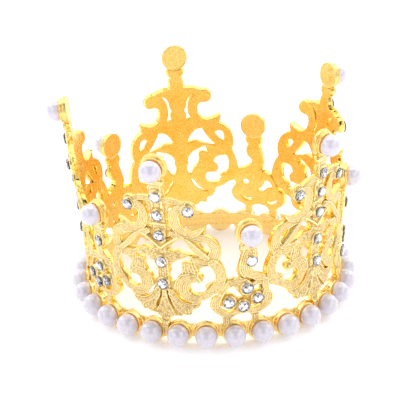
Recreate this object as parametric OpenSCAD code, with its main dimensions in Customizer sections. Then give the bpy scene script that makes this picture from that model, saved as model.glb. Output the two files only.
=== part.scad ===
// Small round costume crown: a ring of pearl cups carries five tall and five short
// openwork panels in turn, each with stones in shallow cups and a pearl on its tip.
// The origin is the ring's centre, in the plane of the ring's pearl centres.

/* [Ring] */
// Radius of the ring of pearl centres
ring_r = 37.5; // [37:0.1:38]
// Pearl diameter
pearl_d = 6; // [5.8:0.1:6]
// Radius of the inside face of the ring
inner_r = 34.1; // [34:0.1:34.2]
// Height of the ring's strip
strip_h = 3.8; // [3.4:0.1:4]
// Thickness of the ring's strip
strip_t = 0.6; // [0.5:0.1:0.8]

/* [Panels] */
// Thickness of the openwork panels
panel_t = 2; // [1.8:0.1:2.2]
// How far the wall's slope grows with height
flare = 0.00181; // [0.0015:0.0001:0.002]
// Outward slope of the wall at the ring
lean = 0.0095; // [0:0.001:0.02]
// Outward bend of each tall panel, in degrees
panel_bend = [0, -0.9, 1.3, 0, 0];

/* [Stones] */
// Stone diameter
stone_d = 3.2; // [3:0.1:3.3]
// How far a stone's widest part stands out of the panel
stone_out = 0.5; // [0.4:0.05:0.8]
// How far the stone cups stand out of the panel
stone_cup_h = 0.2; // [0.15:0.05:0.3]
// Wall of the stone cups
stone_wall = 0.2; // [0.15:0.01:0.21]

/* [Pearl cups] */
// Outer diameter of the ring's pearl cups
cup_d = 6.6; // [6.5:0.1:6.8]
// Diameter of the flange behind each of the ring's cups
flange_d = 7; // [6.9:0.1:7.1]
// Outer diameter of the cups on the panel tips
tip_cup_d = 6.8; // [6.6:0.1:7]
// Diameter of the round plates behind them
tip_plate_d = 7.5; // [7.2:0.1:7.7]
// How deep all pearl cups are, from their back
cup_h = 2.1; // [1.9:0.1:2.9]

/* [Hidden] */
$fn = 64;
sides = 5;
cups_per_side = 6;
step = 360 / (sides * cups_per_side);
first_cup = -40.1;
first_panel = first_cup + 1.5 * step;
half_side = 180 / sides;
pearl_r = pearl_d / 2;
pearl_out = ring_r - inner_r;
floor_t = 1;
seat = pearl_out - floor_t;
rim_play = 0.05;
stone_back_d = 2.6;
stone_floor = 0.1;
stone_cup_d = stone_d + 0.1;
stone_cup_sunk = 0.5;
stone_crown = 0.42;
strip_z = 0.5;
solder_t = 0.15;
seam_out = 0.9;
far = 60;
top_z = 49;
short_top_z = 28.7;
// Where each kind of tip is on the wall, how far it is set in, and its slope in degrees
tall_tip = [0, 51, 0.4, 6.5];
short_tip = [0.8, 30.5, 0.3, 4];
seam_at = first_panel + half_side + 2 * 360 / sides - 8.6;

gold = "#E2B24C";
bright_gold = "#F0C860";
pearl_white = "#F2EDF4";
stone_clear = "#DCE6F2";

// Radius of the wall's back at height z, and its slope there in degrees.
function wall_r(z) = inner_r + lean * z + flare * z * z;
function wall_tilt(z) = atan(lean + 2 * flare * z);

// A smooth curve through the points of one run, which ends at a corner.
function spline(a, b, c, d, t) = 0.5 * (2 * b + (c - a) * t + (2 * a - 5 * b + 4 * c - d) * t * t
    + (3 * b - a - 3 * c + d) * t * t * t);
function run(p, n = 3) = len(p) < 3 ? [for (i = [0:len(p) - 2]) p[i]] : [
    for (i = [0:len(p) - 2], k = [0:n - 1])
        spline(p[max(i - 1, 0)], p[i], p[i + 1], p[min(i + 2, len(p) - 1)], k / n)
];
// Runs joined end to end into a closed outline, the outline mirrored to the left side,
// and both sides of an outline whose right half is open at its two ends.
function joined(runs) = [for (r = runs) each run(r)];
function mirrored(p) = [for (i = [len(p) - 1:-1:0]) [-p[i][0], p[i][1]]];
function end_of(list) = list[len(list) - 1];
function both(runs) = let (p = concat(joined(runs), [end_of(end_of(runs))])) concat(p, mirrored(p));
// Flat drawing to the curved wall: s runs along the wall, z up.
function on_chord(p) = let (r = wall_r(p[1]) + panel_t / 2) [r * sin(p[0] / r * 180 / PI), p[1]];
// The same point of a panel that stands the given turn away, on its face at out.
function beside(p, turn, out) = let (x = on_chord(p)[0], y = sqrt(pow(wall_r(p[1]) + out, 2) - x * x))
    [x * cos(turn) + y * sin(turn), p[1]];

// Right half of the tall panel's outline, from under its pearl cup down to the ring.
tall_edge = [
    [[1.9, top_z], [1.9, 48]],
    [[1.9, 48], [2.6, 47.5], [2.75, 46.5], [2.5, 45.6], [1.9, 45.1]],
    [[1.9, 45.1], [2.35, 43.9], [2.4, 42.9], [2.3, 42.2]],
    [[2.3, 42.2], [4, 42.2], [5.6, 41.8], [7, 41.2]],
    [[7, 41.2], [8.3, 41.4], [9.8, 40.6], [10.4, 39.1], [9.8, 37.6], [8.4, 36.85], [7, 36.8],
        [6.25, 36.2], [6.05, 35], [6.4, 33.6], [7.4, 32.5], [8.8, 32.2], [10.2, 32.6], [12.5, 33.5]],
    [[12.5, 33.5], [12.6, 32.4], [12.2, 31]],
    [[12.2, 31], [13.9, 30.2], [15.4, 28.55], [16.1, 26.2], [16, 24.2], [15.5, 22.7]],
    [[15.5, 22.7], [16.5, 20.7], [17.1, 18.2], [17.2, 16], [16.5, 14.1], [15.2, 12.9],
        [13.4, 12.1], [12, 11], [10.2, 10.3]],
    [[10.2, 10.3], [9.8, 9], [8.9, 7.8], [7.5, 7.3]],
    [[7.5, 7.3], [7.2, 5.7]],
    [[7.2, 5.7], [6.2, 5.7], [5.2, 6]],
    [[5.2, 6], [4.7, 5.3], [3.6, 5], [2.6, 5.4]],
    [[2.6, 5.4], [2, 4.85], [1.3, 4.5]],
    [[1.3, 4.5], [1.1, -1.4]],
];
// Openings on its right half.
tall_holes = [
    [   // slit beside the middle column
        [[4.7, 40], [3.5, 39.3], [2.7, 37.9], [2.45, 36.4], [1.8, 35.1]],
        [[1.8, 35.1], [2.35, 34.3], [2.4, 33.4], [2, 32.7]],
        [[2, 32.7], [3.7, 32.7]],
        [[3.7, 32.7], [3, 34.2], [3, 36.2], [3.5, 38.2], [4.7, 40]],
    ],
    [   // under the crossing bars
        [[2.1, 25.5], [3.2, 27.54], [4.8, 29], [6.6, 29.4]],
        [[6.6, 29.4], [7.3, 28], [8.8, 25.85], [10.5, 24]],
        [[10.5, 24], [8.2, 24.54], [6, 25.1]],
        [[6, 25.1], [5.2, 25.74], [4.2, 25.74], [3.2, 25.5], [2.1, 25.5]],
    ],
    [   // drop in the ear
        [[10.4, 28], [11.5, 28.55], [12.6, 28.1], [13.1, 26.64], [12.9, 25.3]],
        [[12.9, 25.3], [11.5, 26.3], [10.4, 28]],
    ],
    [   // between the wing leaf, the stalk and the acanthus
        [[1.9, 19.6], [2.3, 20.9], [3.2, 22], [4.5, 22.8], [6, 23.4], [7.5, 23.95]],
        [[7.5, 23.95], [7.6, 23], [8, 21.8]],
        [[8, 21.8], [6.8, 22.2], [5.5, 22.1]],
        [[5.5, 22.1], [5.3, 21], [5.4, 19.8], [4.8, 18.3], [3.8, 17.2], [3.2, 16.1], [2.5, 15.7],
            [1.8, 16.5], [1.65, 17.9], [2.1, 18.9], [1.9, 19.6]],
    ],
    [   // inside the lower scroll, around the acanthus
        [[11, 14.5], [11.8, 15.2], [12.7, 15.5], [13.7, 16.3], [14.1, 17.9], [14, 19.6], [13.3, 20.9]],
        [[13.3, 20.9], [11.5, 20.7], [10.3, 20.3]],
        [[10.3, 20.3], [9.9, 19.6], [9.6, 18.9]],
        [[9.6, 18.9], [10.6, 17.9], [10.75, 16.7], [10.2, 15.6]],
        [[10.2, 15.6], [8.8, 15.6], [7.5, 15.4], [7, 14.4], [7.3, 13.1], [8.6, 12.3], [10.2, 12.4],
            [11.3, 13.3], [11.5, 14], [11, 14.5]],
    ],
    [   // crescent under the lower scroll
        [[2.7, 14.1], [3.2, 12.6], [4.4, 10.9], [5.9, 9.9], [7.6, 9.6]],
        [[7.6, 9.6], [6, 10.4], [4.7, 11.6], [3.7, 13.1], [2.7, 14.1]],
    ],
];
// Outline of the short panel, clockwise from the right of its pearl cup. Its sides
// run into the tall panels, which cut them off.
short_edge = [
    [[2.1, short_top_z], [2.5, 27.7]],
    [[2.5, 27.7], [3.2, 27.1], [3.35, 26.1], [3.1, 25.2], [2.5, 24.6]],
    [[2.5, 24.6], [3.1, 23.6], [3.15, 22.4], [2.6, 20.96], [1.4, 19.9]],
    [[1.4, 19.9], [1.5, 19], [2.7, 18.1], [4.3, 17.34], [5.43, 16.6]],
    [[5.43, 16.6], [6.9, 16]],
    [[6.9, 16], [7.1, 13.8], [6.4, 12.6], [6.4, 11.7], [7.2, 10.7], [7.55, 9.4], [7.2, 7.9],
        [6.1, 6.6], [4.6, 5.8], [3.43, 5.2]],
    [[3.43, 5.2], [3.3, 0]],
    [[3.3, 0], [1.3, 0]],
    [[1.3, 0], [1.3, 4.5]],
    [[1.3, 4.5], [0.4, 5.4], [-1.3, 5.75], [-3.1, 5.5], [-4.1, 4.5]],
    [[-4.1, 4.5], [-4.3, 0]],
    [[-4.3, 0], [-6.5, 0]],
    [[-6.5, 0], [-6.8, 5.2]],
    [[-6.8, 5.2], [-8.4, 6.2], [-9.7, 7.7], [-10.1, 9.3], [-9.8, 10.6], [-9, 11.4], [-8.1, 11.7]],
    [[-8.1, 11.7], [-7.6, 12.8], [-6.6, 14.4], [-5.2, 16.5]],
    [[-5.2, 16.5], [-4.14, 16.8], [-3.1, 17.1], [-2, 16.9]],
    [[-2, 16.9], [-2.5, 17.9], [-2.75, 19.24], [-2.4, 21.1], [-1.9, 22.9], [-1.5, 24.5]],
    [[-1.5, 24.5], [-2, 25.2], [-2.1, 26.1], [-1.9, 27.1], [-1.2, 27.7]],
    [[-1.2, 27.7], [-1.6, short_top_z]],
    [[-1.6, short_top_z], [2.1, short_top_z]],
];
short_holes = [
    [[[1.75, 12.7], [2.2, 12.25], [3.33, 12.25], [3.84, 13], [3.2, 13.7], [2.2, 13.5], [1.75, 12.7]]],
    [   // three-cornered opening that runs out in a slit
        [[-0.7, 10.7], [-2.3, 10.4], [-3.2, 11.1], [-4.1, 11.9], [-5.6, 12.2]],
        [[-5.6, 12.2], [-5.2, 13.3], [-4, 14.2]],
        [[-4, 14.2], [-3.1, 13.7], [-2.6, 12.6], [-1.9, 11.7], [-0.7, 10.7]],
    ],
    [
        [[4.5, 8.4], [3.45, 7.4], [2.2, 7], [1, 7.1]],
        [[1, 7.1], [1.3, 8], [2.4, 7.9], [4.5, 8.4]],
    ],
    [
        [[-3.3, 7.4], [-4.6, 6.5], [-6.1, 6.9], [-7.4, 8.6]],
        [[-7.4, 8.6], [-6.3, 8], [-5.2, 7.5], [-3.3, 7.4]],
    ],
];
// Places of the stones on each kind of panel.
tall_stones_at = [[0, 42.6], [-8.2, 38.7], [8.2, 38.7], [0, 36.6], [0, 30.4], [0, 22.1], [0, 15.2]];
short_stones_at = [[1.1, 22.2], [0, 13.8], [2.75, 10.2], [-4.75, 9.8], [-1.05, 8.3]];

// Heights at which the wall's curved profile is drawn
wall_heights = [-3, 6, 14, 22, 30, 38, 46, 54];
module wall_shell() {
    rotate_extrude($fn = 240)
        polygon(concat([for (z = wall_heights) [wall_r(z) + panel_t, z]],
            [for (i = [len(wall_heights) - 1:-1:0]) [wall_r(wall_heights[i]), wall_heights[i]]]));
}
// Puts a child's +Z along the wall's outward normal at s, z.
module on_wall(s, z) {
    rotate([0, 0, s / wall_r(z) * 180 / PI])
        translate([0, -wall_r(z), z])
            rotate([90 + wall_tilt(z), 0, 0])
                children();
}
// The same at a tip, which stands more upright than the wall.
module on_tip(tip) {
    rotate([0, 0, tip[0] / wall_r(tip[1]) * 180 / PI])
        translate([0, tip[2] - wall_r(tip[1]), tip[1]])
            rotate([90 + tip[3], 0, 0])
                children();
}
// Turns a child from the front to its place, then bends it outward about the ring.
module at_tall(i) {
    rotate([0, 0, first_panel + (i - 1) * 2 * half_side])
        translate([0, -inner_r, 0])
            rotate([panel_bend[i - 1], 0, 0])
                translate([0, inner_r, 0])
                    children();
}
module at_short(i) {
    rotate([0, 0, first_panel + half_side + (i - 1) * 2 * half_side])
        children();
}
module at_cup(i, k) {
    rotate([0, 0, first_cup + ((i - 1) * cups_per_side + k - 1) * step])
        translate([0, -inner_r, 0])
            rotate([90, 0, 0])
                children();
}

module ring_band(inside, outside) {
    translate([0, 0, strip_z - strip_h / 2])
        difference() {
            cylinder(h = strip_h, r = outside, $fn = 180);
            translate([0, 0, -1])
                cylinder(h = strip_h + 2, r = inside, $fn = 180);
        }
}
module strip_ring() {
    ring_band(inner_r, inner_r + strip_t);
}
module pearl_cup(outer_d, flange, bottom) {
    difference() {
        union() {
            cylinder(h = cup_h, d = outer_d);
            cylinder(h = bottom, d = flange);
        }
        translate([0, 0, bottom])
            cylinder(h = cup_h, r = pearl_r + rim_play);
    }
}
module seated_pearl(seat_from_centre) {
    translate([0, 0, pearl_out])
        intersection() {
            sphere(r = pearl_r);
            translate([0, 0, -seat_from_centre])
                cylinder(h = 2 * pearl_r, r = pearl_r + 1);
        }
}
module wall_panel(outline, openings) {
    intersection() {
        wall_shell();
        rotate([90, 0, 0])
            linear_extrude(far)
                difference() {
                    polygon([for (p = outline) on_chord(p)]);
                    for (o = openings)
                        polygon([for (p = o) on_chord(p)]);
                    children();
                }
    }
}
module tall_blank() {
    wall_panel(both(tall_edge), concat([for (h = tall_holes) joined(h)],
        [for (h = tall_holes) mirrored(joined(h))]));
}
// The short panel ends where its two tall neighbours begin.
module short_blank() {
    wall_panel(joined(short_edge), [for (h = short_holes) joined(h)])
        for (turn = [-half_side, half_side], out = [0, panel_t / 2, panel_t])
            polygon([for (p = both(tall_edge)) beside(p, turn, out)]);
}
module stone_cup() {
    difference() {
        translate([0, 0, panel_t - stone_cup_sunk])
            cylinder(h = stone_cup_sunk + stone_cup_h, d = stone_cup_d);
        translate([0, 0, panel_t + stone_floor])
            cylinder(h = stone_cup_h, d = stone_cup_d - 2 * stone_wall);
    }
}
module stone() {
    translate([0, 0, panel_t + stone_floor])
        cylinder(h = stone_out - stone_floor, d1 = stone_back_d, d2 = stone_d);
    translate([0, 0, panel_t + stone_out])
        cylinder(h = stone_crown, d1 = stone_d, d2 = 0.6 * stone_d);
}
module stone_cups_on_wall(places) {
    for (p = places)
        on_wall(p[0], p[1])
            stone_cup();
}
// Sockets that the stone cups are sunk into.
module stone_sockets(places) {
    for (p = places)
        on_wall(p[0], p[1])
            translate([0, 0, panel_t - stone_cup_sunk])
                cylinder(h = 1 + stone_cup_sunk, d = stone_cup_d);
}
module stones_on_wall(places) {
    for (p = places)
        on_wall(p[0], p[1])
            stone();
}
// Room that a tip's pearl cup takes out of its panel.
module tip_cup_room(tip) {
    on_tip(tip)
        translate([0, 0, -1])
            cylinder(h = 2 + cup_h, d = tip_plate_d);
}
// Room that the ring's cups take near the given direction.
module cups_near(angle) {
    for (k = [0:sides * cups_per_side - 1])
        if (abs((first_cup + k * step - angle + 540) % 360 - 180) < 2 * step)
            at_cup(1, k + 1) {
                cylinder(h = cup_h, d = cup_d);
                cylinder(h = floor_t, d = flange_d);
            }
}

module base_strip() {
    color(gold)
        strip_ring();
}
module base_cups(i) {
    color(bright_gold)
        difference() {
            for (k = [1:cups_per_side])
                at_cup(i, k)
                    pearl_cup(cup_d, flange_d, floor_t);
            strip_ring();
        }
}
module base_pearls(i) {
    color(pearl_white)
        for (k = [1:cups_per_side])
            at_cup(i, k)
                seated_pearl(seat);
}
module tall_panel(i) {
    color(gold)
        difference() {
            at_tall(i)
                difference() {
                    tall_blank();
                    tip_cup_room(tall_tip);
                    stone_sockets(tall_stones_at);
                }
            strip_ring();
            cups_near(first_panel + (i - 1) * 2 * half_side);
        }
}
module short_panel(i) {
    color(gold)
        difference() {
            at_short(i)
                difference() {
                    short_blank();
                    tip_cup_room(short_tip);
                    stone_sockets(short_stones_at);
                }
            strip_ring();
            cups_near(first_panel + half_side + (i - 1) * 2 * half_side);
        }
}
module tall_tip_cup(i) {
    color(bright_gold)
        at_tall(i)
            on_tip(tall_tip)
                pearl_cup(tip_cup_d, tip_plate_d, floor_t);
}
module short_tip_cup(i) {
    color(bright_gold)
        at_short(i)
            on_tip(short_tip)
                pearl_cup(tip_cup_d, tip_plate_d, floor_t);
}
module tall_tip_pearls() {
    color(pearl_white)
        for (i = [1:sides])
            at_tall(i)
                on_tip(tall_tip)
                    seated_pearl(seat);
}
module short_tip_pearls() {
    color(pearl_white)
        for (i = [1:sides])
            at_short(i)
                on_tip(short_tip)
                    seated_pearl(seat);
}
module tall_stone_cups(i) {
    color(bright_gold)
        at_tall(i)
            stone_cups_on_wall(tall_stones_at);
}
module short_stone_cups(i) {
    color(bright_gold)
        at_short(i)
            stone_cups_on_wall(short_stones_at);
}
module tall_stones(i) {
    color(stone_clear)
        at_tall(i)
            stones_on_wall(tall_stones_at);
}
module short_stones(i) {
    color(stone_clear)
        at_short(i)
            stones_on_wall(short_stones_at);
}
// Two flat drops of solder inside the strip, where the ring's ends were joined.
module seam_solder() {
    color(gold)
        intersection() {
            rotate([0, 0, seam_at])
                translate([0, -inner_r, 0])
                    rotate([90, 0, 0])
                        for (side = [-1, 1])
                            translate([side * seam_out, 0.7 - 0.3 * side, -1])
                                cylinder(h = 2, r = 1.5 - 0.2 * side);
            ring_band(inner_r - solder_t, inner_r);
        }
}

base_strip();
seam_solder();
for (i = [1:sides]) {
    base_cups(i);
    base_pearls(i);
    tall_panel(i);
    short_panel(i);
    tall_tip_cup(i);
    short_tip_cup(i);
    tall_stone_cups(i);
    short_stone_cups(i);
    tall_stones(i);
    short_stones(i);
}
tall_tip_pearls();
short_tip_pearls();
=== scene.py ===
"""The looks of a small round costume crown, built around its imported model.

Lengths are in millimetres until piece() turns them into metres. A flat drawing uses s
along the crown's wall and z above the plane of the ring's pearl centres, and out is the
distance outward from the back of the wall.
"""
import math

import bpy
import numpy as np
from mathutils import Matrix, Vector, geometry, kdtree, noise


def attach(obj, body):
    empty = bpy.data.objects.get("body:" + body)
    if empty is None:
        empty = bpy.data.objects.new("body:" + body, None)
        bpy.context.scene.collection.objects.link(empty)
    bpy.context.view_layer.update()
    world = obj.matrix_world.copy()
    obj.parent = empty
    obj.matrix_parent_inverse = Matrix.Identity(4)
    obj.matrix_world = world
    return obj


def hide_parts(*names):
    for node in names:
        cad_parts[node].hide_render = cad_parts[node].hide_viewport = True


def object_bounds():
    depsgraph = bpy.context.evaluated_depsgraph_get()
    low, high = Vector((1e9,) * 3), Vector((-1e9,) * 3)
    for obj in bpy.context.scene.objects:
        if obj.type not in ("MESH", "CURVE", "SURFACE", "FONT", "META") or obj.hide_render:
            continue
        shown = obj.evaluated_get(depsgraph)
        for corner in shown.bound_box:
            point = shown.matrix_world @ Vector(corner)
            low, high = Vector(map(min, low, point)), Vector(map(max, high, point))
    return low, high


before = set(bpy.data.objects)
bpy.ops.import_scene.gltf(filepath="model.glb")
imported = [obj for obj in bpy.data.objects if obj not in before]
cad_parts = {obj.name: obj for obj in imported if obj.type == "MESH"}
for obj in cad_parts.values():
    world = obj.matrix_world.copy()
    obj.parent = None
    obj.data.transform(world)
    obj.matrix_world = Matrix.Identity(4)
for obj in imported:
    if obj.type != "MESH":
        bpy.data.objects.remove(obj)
cad_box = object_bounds()

# ---------------------------------------------------------------- driving sizes, in mm
MM = 0.001
SIDES = 5
CUPS_PER_SIDE = 6
STEP = 2 * math.pi / (SIDES * CUPS_PER_SIDE)
FIRST_CUP = math.radians(-40.1)
FIRST_PANEL = FIRST_CUP + 1.5 * STEP
HALF_SIDE = math.pi / SIDES
PANEL_BEND = [0, -0.9, 1.3, 0, 0]

RING_R = 37.5
INNER_R = 34.1
LEAN = 0.0095
FLARE = 0.00181
PANEL_T = 2.0
STRIP_LOW = -1.4
STRIP_TOP = 2.4
STRIP_T = 0.6
SEAM_AT = FIRST_PANEL + 5 * HALF_SIDE - math.radians(8.6)

PEARL_R = 3.0
PEARL_OUT = RING_R - INNER_R
CUP_R = 3.3
FLANGE_R = 3.5
TIP_CUP_R = 3.4
TIP_PLATE_R = 3.75
CUP_H = 2.1
CUP_FLOOR = 1.0
FLANGE_TOP = 0.62
TIP_PLATE_TOP = 1.0

STONE_R = 1.64
SEAT_R = 1.74
SEAT_LOW = 0.9
SEAT_FLOOR = 0.1
SEAT_TOP = 0.18
STONE_OUT = 0.5
STONE_CROWN = 0.42

# Tips: s, z, how far they are set in, and their slope in degrees.
TALL_TIP = (0, 51, 0.4, 6.5)
SHORT_TIP = (0.8, 30.5, 0.3, 4)
TALL_STONES = [(0, 42.6), (-8.2, 38.7), (8.2, 38.7), (0, 36.6), (0, 30.4), (0, 22.1), (0, 15.2)]
SHORT_STONES = [(1.1, 22.2), (0, 13.8), (2.75, 10.2), (-4.75, 9.8), (-1.05, 8.3)]

# ---------------------------------------------------------------- the panels' drawings
# Right half of the tall panel, from under its pearl cup down to the ring.
TALL_EDGE = [
    [(1.9, 48.8), (1.9, 48)],
    [(1.9, 48), (2.6, 47.5), (2.75, 46.5), (2.5, 45.6), (1.9, 45.1)],
    [(1.9, 45.1), (2.35, 43.9), (2.4, 42.9), (2.3, 42.2)],
    [(2.3, 42.2), (4, 42.2), (5.6, 41.8), (7, 41.2)],
    [(7, 41.2), (8.3, 41.4), (9.8, 40.6), (10.4, 39.1), (9.8, 37.6), (8.4, 36.85), (7, 36.8),
     (6.25, 36.2), (6.05, 35), (6.4, 33.6), (7.4, 32.5), (8.8, 32.2), (10.2, 32.6), (12.5, 33.5)],
    [(12.5, 33.5), (12.6, 32.4), (12.2, 31)],
    [(12.2, 31), (13.9, 30.2), (15.4, 28.55), (16.1, 26.2), (16, 24.2), (15.5, 22.7)],
    [(15.5, 22.7), (16.5, 20.7), (17.1, 18.2), (17.2, 16), (16.5, 14.1), (15.2, 12.9),
     (13.4, 12.1), (12, 11), (10.2, 10.3)],
    [(10.2, 10.3), (9.8, 9), (8.9, 7.8), (7.5, 7.3)],
    [(7.5, 7.3), (7.2, 5.7)],
    [(7.2, 5.7), (6.2, 5.7), (5.2, 6)],
    [(5.2, 6), (4.7, 5.3), (3.6, 5), (2.6, 5.4)],
    [(2.6, 5.4), (2, 4.85), (1.3, 4.5)],
    [(1.3, 4.5), (1.25, 2.9)],
    [(1.25, 2.9), (0.95, 2.3), (0.9, 1.5)],
    [(0.9, 1.5), (0.9, -1.3)],
]
TALL_HOLES = [
    [   # slit beside the middle column
        [(4.7, 40), (3.5, 39.3), (2.7, 37.9), (2.45, 36.4), (1.8, 35.1)],
        [(1.8, 35.1), (2.35, 34.3), (2.4, 33.4), (2, 32.7)],
        [(2, 32.7), (3.7, 32.7)],
        [(3.7, 32.7), (3, 34.2), (3, 36.2), (3.5, 38.2), (4.7, 40)],
    ],
    [   # under the crossing bars
        [(2.1, 25.5), (3.2, 27.54), (4.8, 29), (6.6, 29.4)],
        [(6.6, 29.4), (7.3, 28), (8.8, 25.85), (10.5, 24)],
        [(10.5, 24), (8.2, 24.54), (6, 25.1)],
        [(6, 25.1), (5.2, 25.74), (4.2, 25.74), (3.2, 25.5), (2.1, 25.5)],
    ],
    [   # drop in the ear
        [(10.4, 28), (11.5, 28.55), (12.6, 28.1), (13.1, 26.64), (12.9, 25.3)],
        [(12.9, 25.3), (11.5, 26.3), (10.4, 28)],
    ],
    [   # between the wing leaf, the stalk and the acanthus
        [(1.9, 19.6), (2.3, 20.9), (3.2, 22), (4.5, 22.8), (6, 23.4), (7.5, 23.95)],
        [(7.5, 23.95), (7.6, 23), (8, 21.8)],
        [(8, 21.8), (6.8, 22.2), (5.5, 22.1)],
        [(5.5, 22.1), (5.3, 21), (5.4, 19.8), (4.8, 18.3), (3.8, 17.2), (3.2, 16.1), (2.5, 15.7),
         (1.8, 16.5), (1.65, 17.9), (2.1, 18.9), (1.9, 19.6)],
    ],
    [   # inside the lower scroll, around the acanthus
        [(11, 14.5), (11.8, 15.2), (12.7, 15.5), (13.7, 16.3), (14.1, 17.9), (14, 19.6), (13.3, 20.9)],
        [(13.3, 20.9), (11.5, 20.7), (10.3, 20.3)],
        [(10.3, 20.3), (9.9, 19.6), (9.6, 18.9)],
        [(9.6, 18.9), (10.6, 17.9), (10.75, 16.7), (10.2, 15.6)],
        [(10.2, 15.6), (8.8, 15.6), (7.5, 15.4), (7, 14.4), (7.3, 13.1), (8.6, 12.3), (10.2, 12.4),
         (11.3, 13.3), (11.5, 14), (11, 14.5)],
    ],
    [   # crescent under the lower scroll
        [(2.7, 14.1), (3.2, 12.6), (4.4, 10.9), (5.9, 9.9), (7.6, 9.6)],
        [(7.6, 9.6), (6, 10.4), (4.7, 11.6), (3.7, 13.1), (2.7, 14.1)],
    ],
]
# Outline of the short panel, clockwise from the right of its pearl cup.
SHORT_EDGE = [
    [(2.6, 28), (2.5, 27.7)],
    [(2.5, 27.7), (3.2, 27.1), (3.35, 26.1), (3.1, 25.2), (2.5, 24.6)],
    [(2.5, 24.6), (3.1, 23.6), (3.15, 22.4), (2.6, 20.96), (1.4, 19.9)],
    [(1.4, 19.9), (1.5, 19), (2.7, 18.1), (4.3, 17.34), (5.43, 16.6)],
    [(5.43, 16.6), (6.9, 16)],
    [(6.9, 16), (7.1, 13.8), (6.4, 12.6), (6.4, 11.7), (7.2, 10.7), (7.55, 9.4), (7.2, 7.9),
     (6.1, 6.6), (4.6, 5.8), (3.43, 5.2)],
    [(3.43, 5.2), (3.3, 1.5)],
    [(3.3, 1.5), (1.3, 1.5)],
    [(1.3, 1.5), (1.3, 4.5)],
    [(1.3, 4.5), (0.4, 5.4), (-1.3, 5.75), (-3.1, 5.5), (-4.1, 4.5)],
    [(-4.1, 4.5), (-4.3, 1.5)],
    [(-4.3, 1.5), (-6.5, 1.5)],
    [(-6.5, 1.5), (-6.8, 5.2)],
    [(-6.8, 5.2), (-8.4, 6.2), (-9.7, 7.7), (-10.1, 9.3), (-9.8, 10.6), (-9, 11.4), (-8.1, 11.7)],
    [(-8.1, 11.7), (-7.6, 12.8), (-6.6, 14.4), (-5.2, 16.5)],
    [(-5.2, 16.5), (-4.14, 16.8), (-3.1, 17.1), (-2, 16.9)],
    [(-2, 16.9), (-2.5, 17.9), (-2.75, 19.24), (-2.4, 21.1), (-1.9, 22.9), (-1.5, 24.5)],
    [(-1.5, 24.5), (-2, 25.2), (-2.1, 26.1), (-1.9, 27.1), (-1.2, 27.7)],
    [(-1.2, 27.7), (-1.1, 28)],
    [(-1.1, 28), (2.6, 28)],
]
SHORT_HOLES = [
    [[(1.75, 12.7), (2.2, 12.25), (3.33, 12.25), (3.84, 13), (3.2, 13.7), (2.2, 13.5), (1.75, 12.7)]],
    [   # three-cornered opening that runs out in a slit
        [(-0.7, 10.7), (-2.3, 10.4), (-3.2, 11.1), (-4.1, 11.9), (-5.6, 12.2)],
        [(-5.6, 12.2), (-5.2, 13.3), (-4, 14.2)],
        [(-4, 14.2), (-3.1, 13.7), (-2.6, 12.6), (-1.9, 11.7), (-0.7, 10.7)],
    ],
    [
        [(4.5, 8.4), (3.45, 7.4), (2.2, 7), (1, 7.1)],
        [(1, 7.1), (1.3, 8), (2.4, 7.9), (4.5, 8.4)],
    ],
    [
        [(-3.3, 7.4), (-4.6, 6.5), (-6.1, 6.9), (-7.4, 8.6)],
        [(-7.4, 8.6), (-6.3, 8), (-5.2, 7.5), (-3.3, 7.4)],
    ],
]

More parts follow.
